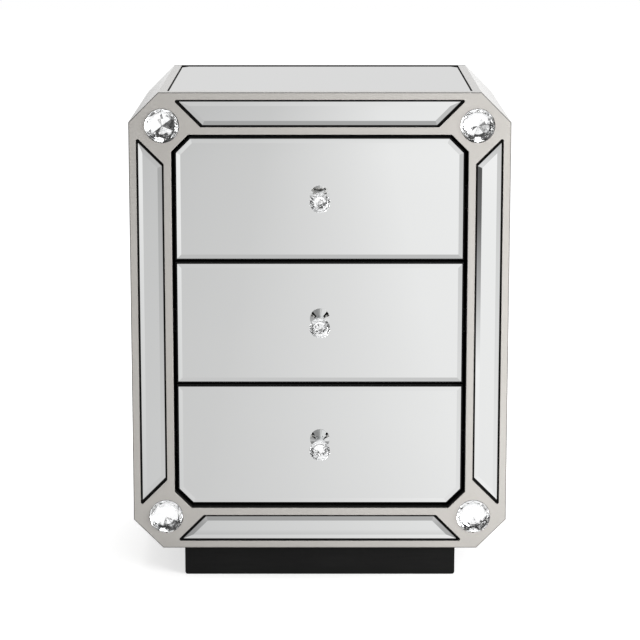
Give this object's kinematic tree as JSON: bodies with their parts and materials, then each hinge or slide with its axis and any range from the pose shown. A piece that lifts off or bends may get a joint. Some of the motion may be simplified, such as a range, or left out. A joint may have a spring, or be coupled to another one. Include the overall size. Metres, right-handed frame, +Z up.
{
  "type": "nightstand",
  "caption": "Octagonal mirrored nightstand: bevelled mirrors in a champagne frame with corner gems, and mirrored drawers with crystal knobs on ball-bearing slides.",
  "frame": {"origin": "on the floor, under the middle of the whole object, knobs included", "axes": "+Z up, the drawers open towards -Y, +X to the right of someone facing the front"},
  "size_m": [0.56, 0.4716, 0.738],
  "materials": {
    "champagne_paint": "champagne-silver lacquer on board",
    "black_paint": "satin black paint on board",
    "mirror_glass": "bevelled silvered glass",
    "cut_crystal": "clear cut crystal",
    "polished_metal": "polished plating",
    "zinc_steel": "bright zinc plating",
    "black_steel": "black zinc plating",
    "drawer_wood": "dark stained wood"
  },
  "bodies": {
    "cabinet": {"front_frame": "champagne_paint", "front_mirror_top": "mirror_glass", "front_mirror_bottom": "mirror_glass", "front_mirror_left": "mirror_glass", "front_mirror_right": "mirror_glass", "corner_gems": "cut_crystal", "top_panel": "champagne_paint", "top_mirror": "mirror_glass", "left_side_panel": "champagne_paint", "left_side_mirror": "mirror_glass", "right_side_panel": "champagne_paint", "right_side_mirror": "mirror_glass", "top_left_corner_rail": "champagne_paint", "top_right_corner_rail": "champagne_paint", "bottom_left_corner_rail": "champagne_paint", "bottom_right_corner_rail": "champagne_paint", "bottom_panel": "black_paint", "back_panel": "black_paint", "back_panel_screws": "zinc_steel", "left_runner_panel": "black_paint", "right_runner_panel": "black_paint", "plinth_front_board": "black_paint", "plinth_rear_board": "black_paint", "plinth_left_board": "black_paint", "plinth_right_board": "black_paint", "plinth_corner_blocks": "black_paint", "cabinet_slide_rails": "black_steel"},
    "lower_drawer": {"lower_drawer_front_board": "black_paint", "lower_drawer_mirror": "mirror_glass", "lower_drawer_left_side": "drawer_wood", "lower_drawer_right_side": "drawer_wood", "lower_drawer_rear_board": "drawer_wood", "lower_drawer_bottom_board": "drawer_wood", "lower_drawer_slide_rails": "black_steel", "lower_drawer_knob_ferrule": "polished_metal", "lower_drawer_knob_crystal": "cut_crystal", "lower_drawer_knob_screw": "zinc_steel"},
    "lower_ball_cages": {"lower_drawer_ball_cages": "zinc_steel"},
    "middle_drawer": {"middle_drawer_front_board": "black_paint", "middle_drawer_mirror": "mirror_glass", "middle_drawer_left_side": "drawer_wood", "middle_drawer_right_side": "drawer_wood", "middle_drawer_rear_board": "drawer_wood", "middle_drawer_bottom_board": "drawer_wood", "middle_drawer_slide_rails": "black_steel", "middle_drawer_knob_ferrule": "polished_metal", "middle_drawer_knob_crystal": "cut_crystal", "middle_drawer_knob_screw": "zinc_steel"},
    "middle_ball_cages": {"middle_drawer_ball_cages": "zinc_steel"},
    "upper_drawer": {"upper_drawer_front_board": "black_paint", "upper_drawer_mirror": "mirror_glass", "upper_drawer_left_side": "drawer_wood", "upper_drawer_right_side": "drawer_wood", "upper_drawer_rear_board": "drawer_wood", "upper_drawer_bottom_board": "drawer_wood", "upper_drawer_slide_rails": "black_steel", "upper_drawer_knob_ferrule": "polished_metal", "upper_drawer_knob_crystal": "cut_crystal", "upper_drawer_knob_screw": "zinc_steel"},
    "upper_ball_cages": {"upper_drawer_ball_cages": "zinc_steel"}
  },
  "joints": [
    {"name": "lower_drawer_slide", "type": "slide", "parent": "cabinet", "child": "lower_drawer", "axis": [0, -1, 0], "range_m": [0, 0.26]},
    {"name": "lower_cage_slide", "type": "slide", "parent": "cabinet", "child": "lower_ball_cages", "axis": [0, -1, 0], "range_m": [0, 0.13]},
    {"name": "middle_drawer_slide", "type": "slide", "parent": "cabinet", "child": "middle_drawer", "axis": [0, -1, 0], "range_m": [0, 0.26]},
    {"name": "middle_cage_slide", "type": "slide", "parent": "cabinet", "child": "middle_ball_cages", "axis": [0, -1, 0], "range_m": [0, 0.13]},
    {"name": "upper_drawer_slide", "type": "slide", "parent": "cabinet", "child": "upper_drawer", "axis": [0, -1, 0], "range_m": [0, 0.26]},
    {"name": "upper_cage_slide", "type": "slide", "parent": "cabinet", "child": "upper_ball_cages", "axis": [0, -1, 0], "range_m": [0, 0.13]}
  ],
  "couplings": [
    {"joint": "lower_cage_slide", "follows": "lower_drawer_slide", "ratio": 0.5},
    {"joint": "middle_cage_slide", "follows": "middle_drawer_slide", "ratio": 0.5},
    {"joint": "upper_cage_slide", "follows": "upper_drawer_slide", "ratio": 0.5}
  ]
}
